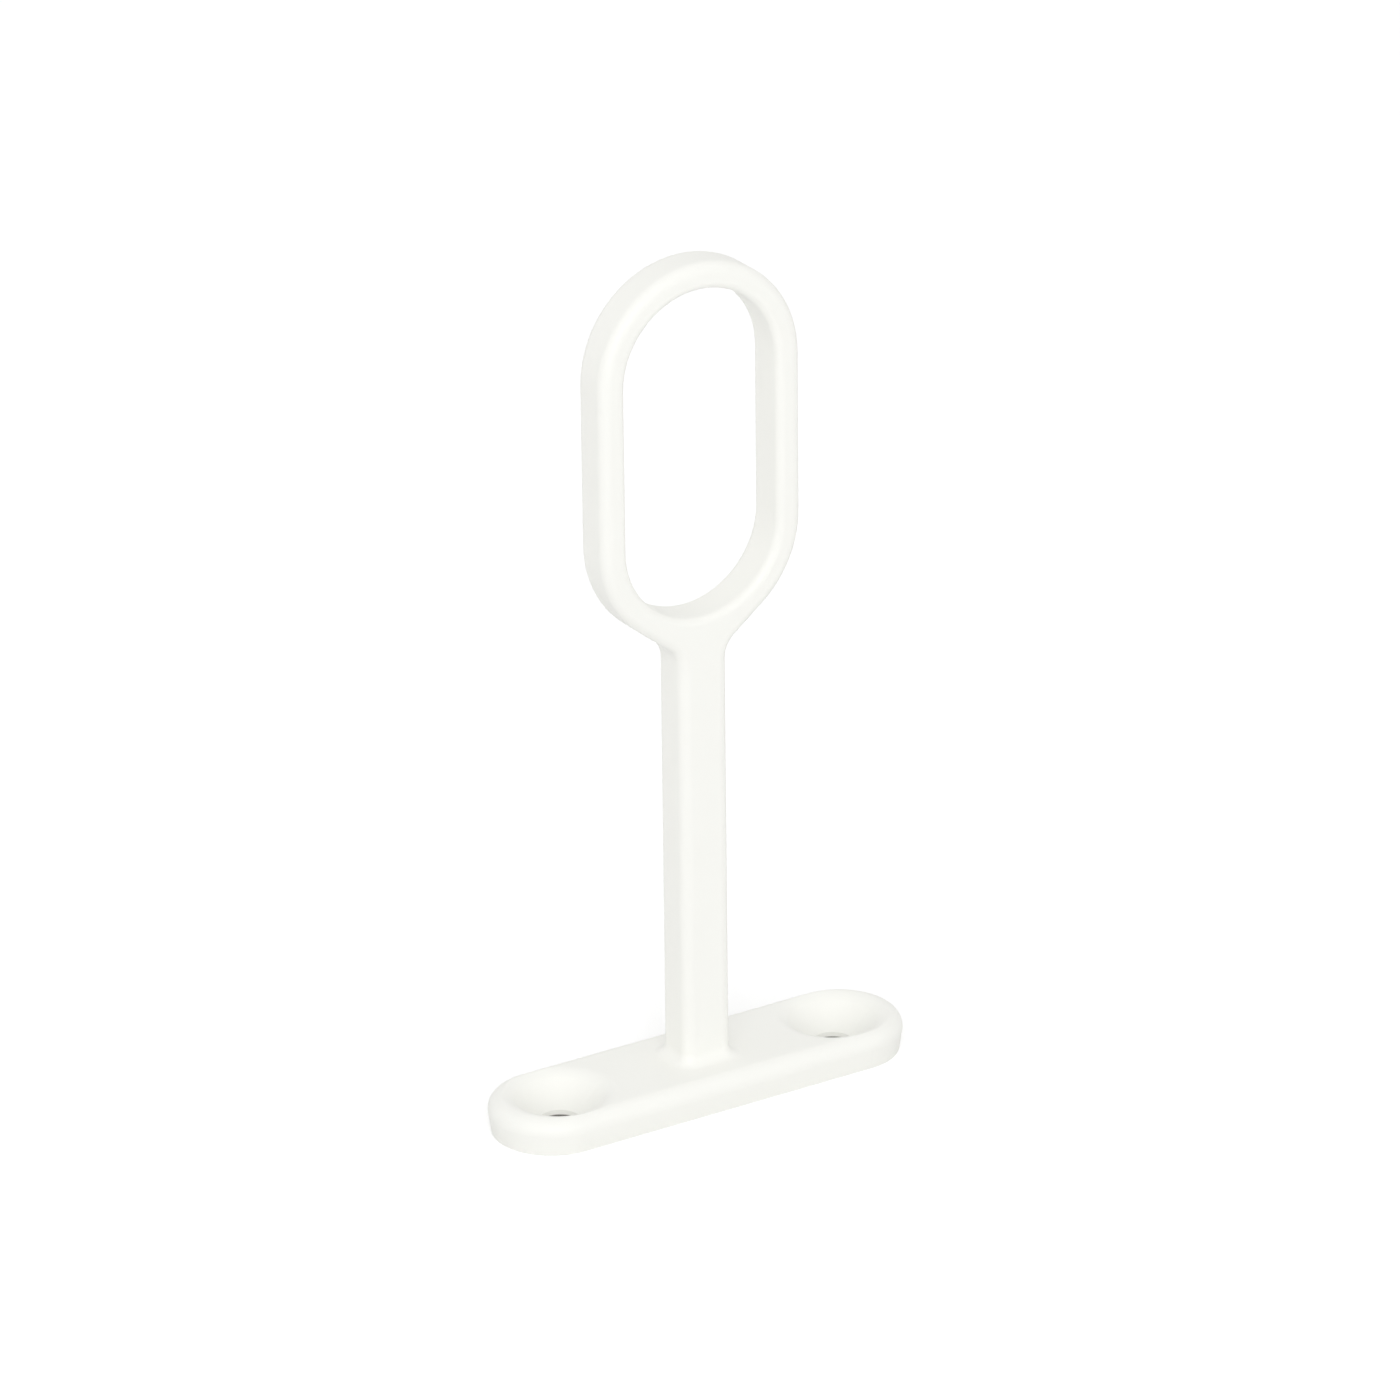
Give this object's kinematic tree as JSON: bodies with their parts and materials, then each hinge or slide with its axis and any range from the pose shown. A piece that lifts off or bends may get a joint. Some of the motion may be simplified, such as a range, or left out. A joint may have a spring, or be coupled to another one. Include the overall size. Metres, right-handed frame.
{
  "type": "ceiling bracket",
  "caption": "Cast bracket that hangs an oval wardrobe or curtain rail from a ceiling: closed oval ring, stem and countersunk screw plate.",
  "frame": {"origin": "centre of the plate's mounting face, the face that goes against the ceiling", "axes": "+Z from the ceiling to the rail, +X along the mounting plate, +Y along the rail through the ring"},
  "size_m": [0.042, 0.0116, 0.0796],
  "materials": {
    "powder_coated_casting": "off-white satin powder coat on die-cast zinc"
  },
  "bodies": {
    "root": {"bracket": "powder_coated_casting"}
  },
  "joints": []
}
